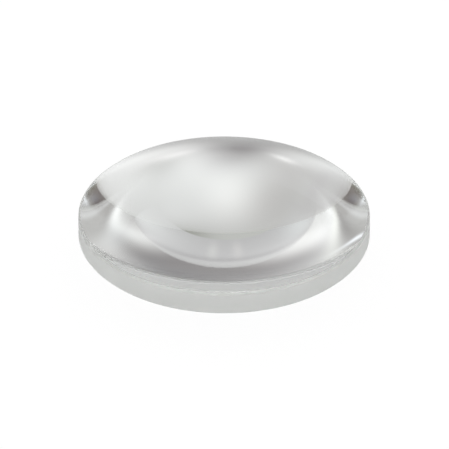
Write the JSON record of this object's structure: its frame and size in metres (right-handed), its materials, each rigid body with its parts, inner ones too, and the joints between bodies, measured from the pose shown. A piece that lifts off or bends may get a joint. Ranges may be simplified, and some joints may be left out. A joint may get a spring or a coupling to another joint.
{
  "type": "biconvex lens",
  "caption": "Round biconvex lens of clear crown glass, with two equal polished spherical faces, a fine-ground cylindrical rim and narrow edge bevels. It focuses or magnifies light.",
  "frame": {"origin": "on the optical axis, halfway between the two vertices, which is the middle of the centre thickness and of the rim", "axes": "+Z along the optical axis, out of the upper face; the lens is round about Z, so X and Y are any two directions across it"},
  "size_m": [0.0254, 0.0254, 0.0088],
  "materials": {
    "crown_glass": "clear optical glass, polished on both spherical faces and fine ground on the rim and the bevels"
  },
  "bodies": {
    "root": {"lens": "crown_glass"}
  },
  "joints": []
}
